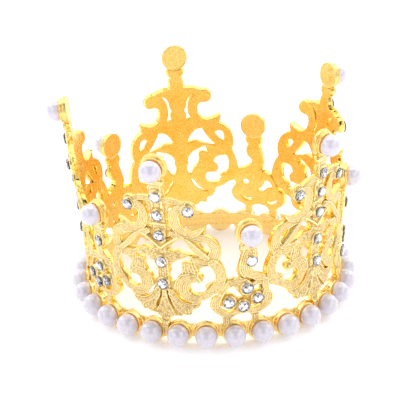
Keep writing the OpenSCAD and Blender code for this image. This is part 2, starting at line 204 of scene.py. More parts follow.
# Raised strokes: their path, half widths from start to end, height, number of engraved
# channels along them, and how grainy they are. A higher stroke passes over a lower one.
TALL_STROKES = [
    ([(0, 44.6), (0, 36.5), (0, 30.5), (0, 26.1)], [1.7, 1.9, 1.8, 1.6], 1.6, 0, 0.7),
    ([(-1.5, 40.6), (-1.3, 38.8)], [0.3, 0.35], 1.8, 0, 0.2),
    ([(1.5, 40.6), (1.3, 38.8)], [0.3, 0.35], 1.8, 0, 0.2),
    ([(-1.6, 33.6), (1.6, 33.6)], [0.42, 0.42], 1.85, 0, 0.2),
    ([(0, 49), (0, 46.5), (0, 44.3)], [1.9, 2.0, 1.5], 1.66, 0, 0.3),
    ([(-1.9, 46.55), (1.9, 46.55)], [0.75, 0.75], 1.9, 0, 0.3),
    ([(0.5, 41), (3, 41.3), (5.5, 41), (7.5, 40.2)], [0.9, 0.95, 0.9, 0.8], 1.78, 3, 0.5),
    ([(8.1, 39.1), (8.3, 38.8)], [2.2, 2.2], 1.66, 0, 0.5),
    ([(7.5, 38.6), (5.6, 38.6), (4.5, 37.2), (4.4, 35.2), (4.9, 33.4), (6.2, 31.9), (8.5, 31.2),
      (10.5, 31.9), (12.3, 33.2)], [1.2, 1.35, 1.45, 1.5, 1.5, 1.4, 1.2, 1.0, 0.3], 1.9, 5, 0.3),
    ([(8, 30.3), (12, 29.65), (14.3, 27.76), (14.7, 25.3), (13.6, 23.2), (11, 22.5), (8.5, 23.1),
      (7.7, 23.6)], [1.0, 1.3, 1.4, 1.5, 1.7, 1.8, 1.2, 0.5], 1.7, 5, 0.3),
    ([(3.5, 31), (7.5, 28.44), (10.2, 25.74), (12.5, 23.7)], [0.9, 0.95, 0.9, 0.75], 2, 3, 0.1),
    ([(0.2, 26.2), (2.5, 28.2), (5, 29.97)], [0.35, 0.38, 0.4], 2, 0, 0.1),
    ([(0.4, 23.9), (3, 23.8), (5.4, 24.3), (7.8, 24.8)], [2.0, 2.2, 1.4, 0.2], 1.78, 7, 1),
    ([(0, 26.1), (0, 22.4), (0, 18.4), (0, 14.4)], [1.2, 1.7, 1.7, 1.9], 1.7, 4, 1),
    ([(7.2, 22.6), (7.2, 20.6), (7.6, 19)], [1.9, 2.2, 2.4], 1.7, 5, 1),
    ([(14, 22.1), (15.6, 19.4), (15.6, 16.4), (14.2, 14), (11.5, 11.6), (8.5, 10.7), (5.8, 11.6),
      (5, 13.9), (5.5, 16), (7.2, 17.2), (9.1, 16.9), (10.6, 16)],
     [1.3, 1.5, 1.5, 1.45, 1.35, 1.4, 1.6, 1.9, 2.1, 2.0, 1.4, 0.3], 1.86, 6, 0.6),
    ([(1.9, 12.8), (3.6, 10), (6.2, 8.3), (9.2, 8.8)], [0.8, 1.6, 2.0, 1.2], 1.7, 6, 1),
    ([(1.5, 12), (2.9, 8.8), (5.4, 6.6)], [0.5, 1.2, 1.6], 1.82, 5, 1),
    ([(0, 12.9), (0, 9.9), (0, 4.76)], [0.6, 0.9, 1.5, 2.4, 3.3], 1.94, 9, 1),
    ([(0, 5.4), (0, 2), (0, -2)], [1.2, 1.2, 1.0], 1.8, 2, 0.6),
]
TALL_GROOVES = [
    ([(0.75, 12.8), (1.5, 9.6), (2.6, 7.6), (4.5, 5.6)], [0.12, 0.3, 0.3, 0.12], 0.7),
    ([(-0.75, 12.4), (-1.4, 10.2), (-2.3, 8)], [0.1, 0.24, 0.42], 0.8),
    ([(3.4, 29.86), (1.5, 28.9)], [0.2, 0.12], 0.45),
    ([(-3.4, 29.86), (-1.5, 28.9)], [0.2, 0.12], 0.45),
    ([(2.6, 19.8), (2.1, 18), (2.4, 16.3)], [0.12, 0.14, 0.1], 0.3),
    ([(-2.6, 19.8), (-2.1, 18), (-2.4, 16.3)], [0.12, 0.14, 0.1], 0.3),
]
SHORT_STROKES = [
    ([(0.7, 28.4), (0.7, 26.2), (0.6, 24.6)], [1.9, 2.4, 1.9], 1.66, 0, 0.3),
    ([(-1.2, 26.2), (2.5, 26.2)], [0.75, 0.75], 1.88, 0, 0.3),
    ([(0.7, 24.4), (0.2, 22.4), (-0.2, 19.7), (0.7, 17.66), (3.2, 16.5), (5.9, 15.8)],
     [1.9, 2.1, 2.0, 1.7, 1.2, 0.7], 1.92, 6, 0.4),
    ([(1.6, 22.2), (1.7, 21.96)], [1.9, 1.9], 1.7, 0, 0.3),
    ([(-6.4, 14.2), (-4.4, 15.3), (-2.1, 15.8), (0.1, 15), (0.9, 14)],
     [0.9, 1.1, 1.2, 1.2, 0.8], 1.76, 4, 0.4),
    ([(1.3, 14.1), (3.56, 15), (6.1, 14.7), (7, 14.2)], [0.6, 1.0, 1.1, 0.9], 1.7, 4, 0.4),
    ([(5.4, 14.6), (5.4, 12.2), (6, 9.7), (5.7, 7.7), (3.45, 6.4), (1.4, 6.3), (0, 7)],
     [1.0, 1.1, 1.6, 1.5, 1.2, 1.0, 1.2], 1.82, 5, 0.4),
    ([(-5.75, 14.6), (-7.2, 12.4), (-8.6, 10.4), (-8.9, 8.4), (-7.4, 6.6), (-5, 6), (-2.8, 6.3),
      (-1.2, 7.2)],
     [1.0, 0.9, 1.4, 1.6, 1.5, 1.1, 1.0, 1.2], 1.82, 5, 0.4),
    ([(2.3, 5.8), (2.3, 0)], [1.1, 1.1], 1.7, 3, 0.4),
    ([(-5.5, 5.8), (-5.4, 0)], [1.2, 1.1], 1.7, 3, 0.4),
    ([(0, 13.2), (0.1, 13)], [2.0, 2.0], 1.66, 0, 0.3),
    ([(2.75, 9.6), (2.8, 9.5)], [2.0, 2.0], 1.66, 0, 0.3),
    ([(-4.75, 9.2), (-4.8, 9.1)], [2.0, 2.0], 1.66, 0, 0.3),
    ([(-1.05, 7.7), (-1.1, 7.6)], [2.0, 2.0], 1.66, 0, 0.3),
]
SHORT_GROOVES = [
    ([(-1.14, 16.8), (0.56, 16.2), (1.8, 15.3)], [0.14, 0.34, 0.46], 0.75),
    ([(4.1, 13.3), (4.5, 12), (4.25, 11.2)], [0.2, 0.25, 0.15], 0.45),
    ([(5.4, 16.3), (6.6, 15.5)], [0.2, 0.2], 0.5),
]
# The front between strokes, the pads round the stones, how much a stroke bulges, its engraved
# channels and the dots in them, and the raised border along it.
GROUND = 1.25
PAD_R = 2.0
CROWNING = 0.16
CHANNEL_DEPTH = 0.17
DOT_PITCH = 0.62
BORDER_HEIGHT = 0.12
BORDER_IN = 0.2
BORDER_W = 0.13
# The rounded edges of front and back, the band along the front's edges that is painted bright
# (part polish, part painted highlight), and the slope of the outer walls.
FRONT_EDGE = 0.26
BACK_EDGE = 0.14
TRIM_W = 0.3
TAPER = 0.4
TAPER_REACH = 0.8
# Spacing of points: along outlines, along strokes, and over front and back.
OUTLINE_PITCH = 0.2
STROKE_PITCH = 0.35
FRONT_PITCH = 0.13
BACK_PITCH = 0.42
# How far the feet of the panels step out over the strip.
TALL_STEP = 0.55
SHORT_STEP = 0.3


# ---------------------------------------------------------------- places on the crown
def wall_r(z):
    return INNER_R + LEAN * z + FLARE * z * z


def wall_tilt(z):
    return math.atan(LEAN + 2 * FLARE * z)


def on_curved_wall(s, z, out):
    """Where the points of a flat drawing lie on the wall of a panel that faces the front."""
    middle = wall_r(z) + PANEL_T / 2
    x = middle * np.sin(s / middle)
    return np.stack([x, -np.sqrt((wall_r(z) + out) ** 2 - x * x), z], -1)


def turn(angle):
    return Matrix.Rotation(angle, 4, "Z")


def at_tall(i):
    """From a panel that faces the front to tall panel i, which is bent a little at the ring."""
    foot = Matrix.Translation((0, -INNER_R, 0))
    bend = Matrix.Rotation(math.radians(PANEL_BEND[i]), 4, "X")
    return turn(FIRST_PANEL + i * 2 * HALF_SIDE) @ foot @ bend @ foot.inverted()


def at_short(i):
    return turn(FIRST_PANEL + (2 * i + 1) * HALF_SIDE)


def on_wall(s, z):
    """From +Z at the origin to the outward normal of a front panel's wall at s, z."""
    lean_out = Matrix.Rotation(math.pi / 2 + wall_tilt(z), 4, "X")
    return turn(s / wall_r(z)) @ Matrix.Translation((0, -wall_r(z), z)) @ lean_out


def on_tip(s, z, set_in, slope):
    """The same at a tip, which stands more upright than the wall."""
    lean_out = Matrix.Rotation(math.pi / 2 + math.radians(slope), 4, "X")
    return turn(s / wall_r(z)) @ Matrix.Translation((0, set_in - wall_r(z), z)) @ lean_out


def at_cup(k):
    stand = Matrix.Translation((0, -INNER_R, 0)) @ Matrix.Rotation(math.pi / 2, 4, "X")
    return turn(FIRST_CUP + k * STEP) @ stand


# ---------------------------------------------------------------- meshes
class Part:
    """Vertices in mm, faces with the same number of corners each, and numbers for each vertex."""

    def __init__(self, verts, faces, paint=0, smooth=True, **marks):
        self.verts = np.asarray(verts, float)
        self.faces = np.asarray(faces, int)
        self.paint = paint
        self.smooth = smooth
        self.marks = marks

    def moved(self, matrix):
        m = np.array(matrix)
        verts = self.verts @ m[:3, :3].T + m[:3, 3]
        return Part(verts, self.faces, self.paint, self.smooth, **self.marks)


def piece(node, parts, paints):
    """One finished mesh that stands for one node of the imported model."""
    starts = np.cumsum([0] + [len(p.verts) for p in parts])
    corners = np.concatenate([(p.faces + a).ravel() for p, a in zip(parts, starts)])
    sizes = np.concatenate([np.full(len(p.faces), p.faces.shape[1]) for p in parts])
    mesh = bpy.data.meshes.new(node + "_mesh")
    mesh.vertices.add(starts[-1])
    mesh.vertices.foreach_set("co", (np.concatenate([p.verts for p in parts]) * MM).ravel())
    mesh.loops.add(len(corners))
    mesh.loops.foreach_set("vertex_index", corners)
    mesh.polygons.add(len(sizes))
    mesh.polygons.foreach_set("loop_start", np.cumsum(sizes) - sizes)
    for setting, key in (("material_index", "paint"), ("use_smooth", "smooth")):
        values = [np.full(len(p.faces), getattr(p, key)) for p in parts]
        mesh.polygons.foreach_set(setting, np.concatenate(values))
    for name in sorted({name for p in parts for name in p.marks}):
        values = np.concatenate([p.marks.get(name, np.zeros(len(p.verts))) for p in parts])
        mesh.attributes.new(name, "FLOAT", "POINT").data.foreach_set("value", values.astype(np.float32))
    mesh.update(calc_edges=True)
    mesh.validate()
    for paint in paints:
        mesh.materials.append(paint)
    obj = bpy.data.objects.new(node + "_finished", mesh)
    bpy.context.scene.collection.objects.link(obj)
    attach(obj, "root")
    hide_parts(node)
    return obj


def rounded(corners, radius, steps=5):
    """The corners of an open line, each rounded off by about the radius."""
    p = [np.array(c, float) for c in corners]
    line = [p[0]]
    for before, here, after in zip(p, p[1:], p[2:]):
        a, b = before - here, after - here
        a *= min(radius / np.linalg.norm(a), 0.5)
        b *= min(radius / np.linalg.norm(b), 0.5)
        for t in np.linspace(0, 1, steps):
            line.append(here + a * (1 - t) ** 2 + b * t ** 2)
    return np.array(line + [p[-1]])


def turned(profile, around=56, wobble=0.0, seed=0, **settings):
    """A solid turned about +Z from (radius, height) points that start and end on the axis."""
    inner = profile[1:-1]
    angle = np.arange(around) * 2 * math.pi / around
    r = inner[:, :1] + np.zeros(around)
    if wobble:
        r = r + wobble * np.sin(2 * angle + seed) + 0.6 * wobble * np.sin(3 * angle + 2.3 * seed)
    rings = np.stack([r * np.cos(angle), r * np.sin(angle), inner[:, 1:] + 0 * r], -1).reshape(-1, 3)
    low, high = len(rings), len(rings) + 1
    verts = np.concatenate([rings, [[0, 0, profile[0][1]], [0, 0, profile[-1][1]]]])
    i = np.arange(around)
    j = (i + 1) % around
    faces = [np.stack([np.full(around, low), j, i], -1)]
    for row in range(len(inner) - 1):
        a, b = row * around, (row + 1) * around
        faces += [np.stack([a + i, a + j, b + j], -1), np.stack([a + i, b + j, b + i], -1)]
    top = (len(inner) - 1) * around
    faces.append(np.stack([top + i, top + j, np.full(around, high)], -1))
    return Part(verts, np.concatenate(faces), **settings)


def curve(points, pitch, whole=False):
    """A smooth curve through the points, without its last point unless whole."""
    p = np.array(points, float)
    padded = np.concatenate([p[:1], p, p[-1:]])
    rows = []
    for a, b, c, d in zip(padded, padded[1:], padded[2:], padded[3:]):
        t = np.linspace(0, 1, max(1, math.ceil(np.linalg.norm(c - b) / pitch)), endpoint=False)[:, None]
        if len(p) == 2:
            rows.append(b + (c - b) * t)
        else:
            rows.append(0.5 * (2 * b + (c - a) * t + (2 * a - 5 * b + 4 * c - d) * t * t
                               + (3 * b - a - 3 * c + d) * t ** 3))
    if whole:
        rows.append(p[-1:])
    return np.concatenate(rows)


def loop(runs, pitch):
    return np.concatenate([curve(run, pitch) for run in runs])


def mirrored(points):
    return points[::-1] * [-1, 1]


def inside(points, loops):
    """Which points lie in the metal: within the outline and in none of the openings."""
    x, y = points[:, 0], points[:, 1]
    odd = np.zeros(len(points), bool)
    for ring in loops:
        for (x0, y0), (x1, y1) in zip(ring, np.roll(ring, -1, 0)):
            if y0 != y1:
                crosses = (y0 > y) != (y1 > y)
                odd ^= crosses & (x < x0 + (x1 - x0) * (y - y0) / (y1 - y0))
    return odd


def nearest_edge(loops):
    """A function that says how far points are from the outline and the openings."""
    dense = []
    for ring in loops:
        ends = np.roll(ring, -1, 0)
        for t in (0, 0.25, 0.5, 0.75):
            dense.append(ring + (ends - ring) * t)
    dense = np.concatenate(dense)
    tree = kdtree.KDTree(len(dense))
    for i, (x, y) in enumerate(dense):
        tree.insert((x, y, 0), i)
    tree.balance()
    return lambda points: np.array([tree.find((x, y, 0))[2] for x, y in points])


def flat_mesh(loops, pitch, insets):
    """Vertices, triangles and edge distances of a flat drawing, finer along its edges."""
    distance = nearest_edge(loops)
    rim = np.concatenate(loops)
    points = [rim]
    for ring in loops:
        along = np.roll(ring, -1, 0) - np.roll(ring, 1, 0)
        across = np.stack([-along[:, 1], along[:, 0]], -1)
        across /= np.maximum(np.linalg.norm(across, axis=1, keepdims=True), 1e-9)
        for d in insets:
            for side in (-1, 1):
                row = ring + side * d * across
                row = row[inside(row, loops)]
                points.append(row[distance(row) > 0.85 * d])
    low, high = rim.min(0), rim.max(0)
    xs = np.arange(low[0], high[0], pitch)
    ys = np.arange(low[1], high[1], pitch * math.sqrt(3) / 2)
    grid = np.stack(np.meshgrid(xs, ys), -1)
    grid[1::2, :, 0] += pitch / 2
    grid = grid.reshape(-1, 2)
    grid = grid[inside(grid, loops)]
    points.append(grid[distance(grid) > insets[-1] + 0.5 * pitch])
    edges, start = [], 0
    for ring in loops:
        n = len(ring)
        edges += [(start + i, start + (i + 1) % n) for i in range(n)]
        start += n
    found = geometry.delaunay_2d_cdt([Vector(p) for p in np.concatenate(points)], edges, [], 0, 1e-6)
    verts = np.array([tuple(v) for v in found[0]])
    faces = np.array(found[2])
    faces = faces[inside(verts[faces].mean(1), loops)]
    used = np.unique(faces)
    renumber = np.zeros(len(verts), int)
    renumber[used] = np.arange(len(used))
    verts = verts[used]
    return verts, renumber[faces], distance(verts)


def rim_edges(faces):
    """The directed edges that only one triangle has."""
    directed = np.concatenate([faces[:, [0, 1]], faces[:, [1, 2]], faces[:, [2, 0]]])
    key = np.sort(directed, 1)
    _, back, count = np.unique(key, axis=0, return_inverse=True, return_counts=True)
    return directed[count[back.ravel()] == 1]


def beside_path(path, points):
    """For each point: its distance from a path, which side it is on, and how far along it is."""
    a, b = path[:-1], path[1:]
    ab = b - a
    lengths = np.linalg.norm(ab, axis=1)
    before = np.cumsum(lengths) - lengths
    best = np.full(len(points), 1e9)
    side = np.zeros(len(points))
    along = np.zeros(len(points))
    for p, d, length, start in zip(a, ab, lengths, before):
        gap = points - p
        t = np.clip((gap @ d) / length ** 2, 0, 1)
        gap = gap - t[:, None] * d
        dist = np.hypot(gap[:, 0], gap[:, 1])
        closer = dist < best
        best = np.where(closer, dist, best)
        side = np.where(closer, np.sign(gap[:, 1] * d[0] - gap[:, 0] * d[1]), side)
        along = np.where(closer, (start + t * length), along)
    return best, side, along, lengths.sum()


def smoothstep(x, start, end):
    t = np.clip((x - start) / (end - start), 0, 1)
    return t * t * (3 - 2 * t)


def relief(points, strokes, grooves, spots, halved):
    """Height of the engraved front at each point, and how grainy it is there."""
    where = np.stack([np.abs(points[:, 0]), points[:, 1]], -1) if halved else points
    height = np.full(len(points), GROUND)
    grain = np.full(len(points), 0.4)
    for path, halves, top, channels, stipple in strokes:
        dist, side, along, total = beside_path(curve(path, STROKE_PITCH, whole=True), where)
        half = np.interp(along / total, np.linspace(0, 1, len(halves)), halves)
        u = dist / half
        crown = top - CROWNING + CROWNING * np.sqrt(np.clip(1 - u * u, 0, 1))
        crown += BORDER_HEIGHT * np.exp(-((half - dist - BORDER_IN) / BORDER_W) ** 2)
        if channels:
            within = np.maximum(half - BORDER_IN - BORDER_W, 0.1)
            phase = (side * dist / within + 1) / 2 * channels
            dots = 0.5 + 0.5 * np.cos(2 * math.pi * (along / DOT_PITCH + 0.5 * np.floor(phase)))
            cut = 0.5 - 0.5 * np.cos(2 * math.pi * phase)
            cut = CHANNEL_DEPTH * cut ** 1.3 * (1 - 0.85 * max(stipple, 0.45) * (1 - dots))
            crown -= np.where(dist < within, cut, 0)
        rises = (u < 1) & (crown > height)
        height = np.where(rises, crown, height)
        grain = np.where(rises, stipple, grain)
    for spot in spots:
        dist = np.linalg.norm(points - spot, axis=1)
        pad = PANEL_T - 0.04 - 0.5 * smoothstep(dist, PAD_R - 0.35, PAD_R)
        rises = (dist < PAD_R) & (pad > height)
        height = np.where(rises, pad, height)
        grain = np.where(rises, 0.1, grain)
    for path, halves, depth in grooves:
        dist, side, along, total = beside_path(curve(path, STROKE_PITCH, whole=True), points)
        half = np.interp(along / total, np.linspace(0, 1, len(halves)), halves)
        height -= depth * np.clip(1.4 - dist / half, 0, 1)
    return height, grain


def softened(values, faces, rounds):
    """Each vertex's value averaged with its neighbours', a few times over."""
    a = np.concatenate([faces[:, 0], faces[:, 1], faces[:, 2]])
    b = np.concatenate([faces[:, 1], faces[:, 2], faces[:, 0]])
    count = np.bincount(a, minlength=len(values)) + np.bincount(b, minlength=len(values))
    for _ in range(rounds):
        total = np.bincount(a, values[b], len(values)) + np.bincount(b, values[a], len(values))
        values = 0.5 * values + 0.5 * total / np.maximum(count, 1)
    return values


def rounding(edge, radius):
    """How much a rounded edge takes away at some distances from it."""
    return radius * (1 - np.sqrt(np.clip(1 - (1 - np.clip(edge / radius, 0, 1)) ** 2, 0, 1)))


def tapered(points, faces, outline):
    """The back's points, drawn in along the outline so that the outer walls slope."""
    rim = rim_edges(faces)
    along = points[rim[:, 1]] - points[rim[:, 0]]
    along /= np.linalg.norm(along, axis=1)[:, None]
    inward = np.zeros_like(points)
    for end in (0, 1):
        np.add.at(inward, rim[:, end], np.stack([-along[:, 1], along[:, 0]], -1))
    outer = np.unique(rim)
    outer = outer[nearest_edge([outline])(points[outer]) < 0.01]
    inward = inward[outer] / np.linalg.norm(inward[outer], axis=1)[:, None]
    gap = np.linalg.norm(points[:, None] - points[outer], axis=2)
    share = np.clip(1 - gap.min(1) / TAPER_REACH, 0, 1) * smoothstep(points[:, 1], 2, 4)
    return points + TAPER * share[:, None] * inward[gap.argmin(1)]


def cast_panel(loops, strokes, grooves, spots, halved):
    """The front, the back and the side walls of one kind of panel, still as a flat drawing."""
    front, front_faces, edge = flat_mesh(loops, FRONT_PITCH, (0.04, 0.12, 0.24))
    height, grain = relief(front, strokes, grooves, spots, halved)
    height -= rounding(edge, FRONT_EDGE)
    # How far each point lies below its softened neighbours: it drives painted shade in hollows, painted
    # highlight on ridges, and smoother ridges.
    cavity = softened(height, front_faces, 20) - height
    # A band along the front's edges, painted bright later: part polish, part painted highlight.
    trim = np.clip(1.2 - edge / TRIM_W, 0, 1)
    back, back_faces, back_edge = flat_mesh(loops, BACK_PITCH, (0.06, 0.18))
    hollow = rounding(back_edge, BACK_EDGE)
    rim = rim_edges(front_faces)
    match = {(round(x, 4), round(y, 4)): i for i, (x, y) in enumerate(back)}
    pairs = {i: match[(round(front[i][0], 4), round(front[i][1], 4))] for i in np.unique(rim)}
    back = tapered(back, back_faces, loops[0])
    return dict(front=front, front_faces=front_faces, height=height, grain=grain, cavity=cavity,
                trim=trim, back=back, back_faces=back_faces, hollow=hollow, rim=rim, pairs=pairs)


def waves(points, scale, seed):
    """Smooth noise about 0 at flat points."""
    return np.array([noise.noise(Vector((x * scale, y * scale, seed))) for x, y in points])


def panel_part(cast, place, step_out, seed):
    """One panel on the crown, with its own slight unevenness."""
    def laid(points, out, amount):
        bow = 0.12 * waves(points, 0.11, seed) + amount * waves(points, 0.8, seed + 5)
        forward = step_out * smoothstep(-points[:, 1], -3.3, -2.5)
        s = points[:, 0] + 0.12 * waves(points, 0.13, seed + 9)
        z = points[:, 1] + 0.10 * waves(points, 0.13, seed + 14)
        return on_curved_wall(s, z, out + np.clip(bow, -0.1, 0.1) + forward)

    front, back, rim = cast["front"], cast["back"], cast["rim"]
    top = laid(front, cast["height"], 0.02)
    under = laid(back, cast["hollow"] + 0.06, 0.05)
    rim_front = np.array(sorted(cast["pairs"]))
    rim_back = np.array([cast["pairs"][i] for i in rim_front])
    order = {v: k for k, v in enumerate(rim_front)}
    a, b = top[rim_front], under[rim_back]
    shares = (0.3, 0.7)
    walls = [a + (b - a) * t for t in shares]
    verts = np.concatenate([top, under] + walls)
    n_top, n_under, n_rim = len(top), len(under), len(rim_front)
    rows = [rim_front, n_top + n_under + np.arange(n_rim), n_top + n_under + n_rim + np.arange(n_rim),
            n_top + rim_back]
    p = np.array([order[v] for v in rim[:, 0]])
    q = np.array([order[v] for v in rim[:, 1]])
    faces = [cast["front_faces"], cast["back_faces"][:, ::-1] + n_top]
    for upper, lower in zip(rows, rows[1:]):
        faces.append(np.stack([upper[q], upper[p], lower[p]], -1))
        faces.append(np.stack([upper[q], lower[p], lower[q]], -1))
    facing = np.concatenate([np.ones(n_top), -np.ones(n_under), np.zeros(2 * n_rim)])
    cavity = np.concatenate([cast["cavity"], np.zeros(n_under + 2 * n_rim)])
    grain = np.concatenate([cast["grain"], np.zeros(n_under + 2 * n_rim)])
    # The walls get the whole bright band: part polish, part painted highlight.
    trim = np.concatenate([cast["trim"], np.zeros(n_under), np.ones(2 * n_rim)])
    part = Part(verts, np.concatenate(faces), facing=facing, cavity=cavity, grain=grain, trim=trim)
    return part.moved(place)


# ---------------------------------------------------------------- materials
def add_node(tree, kind, settings=None, **inputs):
    """A shader node with its settings, and its inputs linked or set; _0 stands for input 0."""
    made = tree.nodes.new("ShaderNode" + kind)
    for name, value in (settings or {}).items():
        setattr(made, name, value)
    for name, value in inputs.items():
        key = int(name[1:]) if name[1:].isdigit() else name.replace("_", " ")
        if isinstance(value, bpy.types.NodeSocket):
            tree.links.new(value, made.inputs[key])
        else:
            made.inputs[key].default_value = value
    return made


class Paint:
    """A material built node by node."""

    def __init__(self, name):
        self.material = bpy.data.materials.new(name)
        self.material.use_nodes = True
        self.tree = self.material.node_tree
        self.tree.nodes.clear()
        self.where = self.node("TexCoord").outputs["Object"]

    def node(self, kind, settings=None, **inputs):
        return add_node(self.tree, kind, settings, **inputs)

    def noise(self, size, detail=2.0, roughness=0.5, distortion=0.0):
        """Noise whose features are about size mm across."""
        made = self.node("TexNoise", Vector=self.where, Scale=1 / (size * MM), Detail=detail,
                         Roughness=roughness, Distortion=distortion)
        return made.outputs["Fac"]

    def mark(self, name):
        return self.node("Attribute", {"attribute_name": name}).outputs["Fac"]

    def ranged(self, value, low, high, to_low=0.0, to_high=1.0):
        made = self.node("MapRange", _0=value, _1=low, _2=high, _3=to_low, _4=to_high)
        return made.outputs[0]

    def maths(self, operation, a, b):
        return self.node("Math", {"operation": operation}, _0=a, _1=b).outputs[0]

    def mixed(self, share, a, b):
        """Colour a, with share of colour b."""
        made = self.node("Mix", {"data_type": "RGBA"})
        for key, value in ((0, share), (6, a), (7, b)):
            if isinstance(value, bpy.types.NodeSocket):
                self.tree.links.new(value, made.inputs[key])
            else:
                made.inputs[key].default_value = value if key == 0 else (*value, 1.0)
        return made.outputs[2]

    def bump(self, height, strength, distance, under=None):
        inputs = dict(Height=height, Strength=strength, Distance=distance * MM)
        if under is not None:
            inputs["Normal"] = under
        return self.node("Bump", **inputs).outputs["Normal"]

    def finish(self, **inputs):
        shader = self.node("BsdfPrincipled", **inputs)
        out = self.node("OutputMaterial")
        self.tree.links.new(shader.outputs[0], out.inputs["Surface"])
        return self.material


# The front's own colour; amber and deep brown for painted shade in hollows (the amber also colours pits);
# a bright gold for edges and walls, part polish and part painted highlight; and the back's colour.
GOLD_FACE = (0.96, 0.70, 0.31)
GOLD_AMBER = (0.90, 0.52, 0.06)
GOLD_DEEP_SHADE = (0.16, 0.06, 0.01)
GOLD_BRIGHT = (1.0, 0.76, 0.22)
GOLD_BACK = (1.0, 0.62, 0.12)


def antique_gold():
    """Grainy, engraved front, darkened in its hollows and in the low parts of its grain as painted
    shade and lightened on its ridges and grain tops as painted highlight; edges and walls
    painted bright, part polish and part painted highlight; satin back with small pits.
    """
    p = Paint("antique_gold")
    facing, cavity, grain = p.mark("facing"), p.mark("cavity"), p.mark("grain")
    front = p.ranged(facing, 0.45, 0.95)
    behind = p.ranged(facing, -0.95, -0.45, 1.0, 0.0)
    punched = p.node("TexVoronoi", {"feature": "SMOOTH_F1"}, Vector=p.where, Scale=1 / (0.62 * MM),
                     Smoothness=0.3).outputs["Distance"]
    fine = p.maths("MULTIPLY", p.noise(0.3, 3.0, 0.7), 0.35)
    stipple = p.maths("ADD", p.maths("MULTIPLY", punched, 0.9), fine)
    cloud = p.noise(3.5, 2.0)
    grainy = p.ranged(grain, 0.0, 1.0, 0.1, 0.7)
    face = p.mixed(p.ranged(cloud, 0.35, 0.65, 0.0, 0.5), GOLD_FACE, (0.84, 0.67, 0.37))
    # Painted shade in the low parts of the stippled grain and painted highlight on its raised tops.
    dark_dots = p.maths("MULTIPLY", p.ranged(stipple, 0.66, 0.78), grainy)
    face = p.mixed(dark_dots, face, (0.46, 0.30, 0.09))
    light_dots = p.maths("MULTIPLY", p.ranged(stipple, 0.5, 0.38), grainy)
    face = p.mixed(light_dots, face, (1.0, 0.86, 0.50))
    # Painted shade and painted highlight: the cavity mark darkens the hollows, amber and then deep brown
    # where deeper, and lightens the ridges.
    face = p.mixed(p.ranged(cavity, 0.01, 0.06, 0.0, 0.85), face, (0.56, 0.37, 0.12))
    face = p.mixed(p.ranged(cavity, -0.02, -0.08, 0.0, 0.9), face, (1.0, 0.85, 0.46))
    face = p.mixed(p.ranged(cavity, 0.08, 0.16, 0.0, 1.0), face, GOLD_AMBER)
    face = p.mixed(p.ranged(cavity, 0.2, 0.36, 0.0, 0.9), face, GOLD_DEEP_SHADE)
    # Painted highlight, part polish: the band along the front's edges is painted bright gold.
    face = p.mixed(p.maths("MULTIPLY", p.mark("trim"), 0.85), face, GOLD_BRIGHT)
    pits = p.ranged(p.noise(0.5, 3.0, 0.7), 0.30, 0.36, 1.0, 0.0)
    pit_places = p.ranged(p.noise(4.0, 1.0), 0.50, 0.62)
    pits = p.maths("MULTIPLY", pits, pit_places)
    back = p.mixed(p.ranged(cloud, 0.3, 0.7, 0.0, 0.7), GOLD_BACK, (1.0, 0.72, 0.24))
    back = p.mixed(p.maths("MULTIPLY", pits, 0.6), back, GOLD_AMBER)
    # The walls take the bright gold: part polish, part painted highlight.
    colour = p.mixed(front, GOLD_BRIGHT, face)
    colour = p.mixed(behind, colour, back)
    ridges = p.ranged(cavity, 0.0, -0.06, 0.0, 0.16)
    worn = p.maths("MAXIMUM", ridges, p.maths("MULTIPLY", p.mark("trim"), 0.14))
    rough = p.maths("ADD", p.ranged(front, 0, 1, 0.16, 0.32), p.ranged(stipple, 0.3, 0.8, -0.04, 0.08))
    rough = p.maths("SUBTRACT", p.maths("ADD", rough, p.maths("MULTIPLY", behind, 0.08)), worn)
    strength = p.maths("MULTIPLY", front, p.ranged(grain, 0, 1, 0.2, 0.7))
    grained = p.bump(p.maths("MULTIPLY", stipple, -1.0), p.maths("MAXIMUM", strength, 0.05), 0.3)
    waved = p.bump(p.noise(1.6, 2.0), 0.5, 0.10, grained)
    return p.finish(Base_Color=colour, Metallic=1.0, Roughness=rough, Normal=waved)


def plated_gold(name, colour, tint, rough, unevenness):
    """Gold plate that is polished or satin, with faint clouds, polishing marks and pits."""
    p = Paint(name)
    cloud = p.noise(2.2, 3.0)
    fine = p.noise(0.18, 2.0)
    base = p.mixed(p.ranged(cloud, 0.35, 0.65, 0.0, 0.6), colour, tint)
    pits = p.ranged(p.noise(0.45, 2.0, 0.7), 0.20, 0.25, 1.0, 0.0)
    base = p.mixed(p.maths("MULTIPLY", pits, 0.5), base, GOLD_AMBER)
    roughness = p.ranged(p.noise(1.1, 3.0), 0.3, 0.7, rough * 0.75, rough * 1.35)
    normal = p.bump(fine, 0.08, 0.01)
    normal = p.bump(p.noise(1.4, 2.0), unevenness, 0.10, normal)
    return p.finish(Base_Color=base, Metallic=1.0, Roughness=roughness, Normal=normal)


def nacre():
    """Pearlescent coating: lavender body, faint pink and blue clouds, a soft gloss."""
    p = Paint("nacre")
    cloud = p.noise(3.0, 2.0, 0.5, 0.8)
    body = p.mixed(p.ranged(cloud, 0.3, 0.7), (0.75, 0.72, 0.84), (0.79, 0.74, 0.83))
    # Orange low on the pearl by the cup's rim: part adhesive, part painted reflected gold light.
    body = p.mixed(p.mark("glue"), body, (1.0, 0.62, 0.26))
    rough = p.ranged(p.noise(1.6, 1.0), 0.3, 0.7, 0.24, 0.30)
    normal = p.bump(p.noise(1.8, 1.0), 0.08, 0.02)
    return p.finish(Base_Color=body, Metallic=0.1, Roughness=rough, Normal=normal, Coat_Weight=1.0,
                    Coat_Roughness=0.18, Coat_IOR=1.6, Sheen_Weight=0.1,
                    Sheen_Roughness=0.4, Sheen_Tint=(0.86, 0.80, 1.0, 1.0))


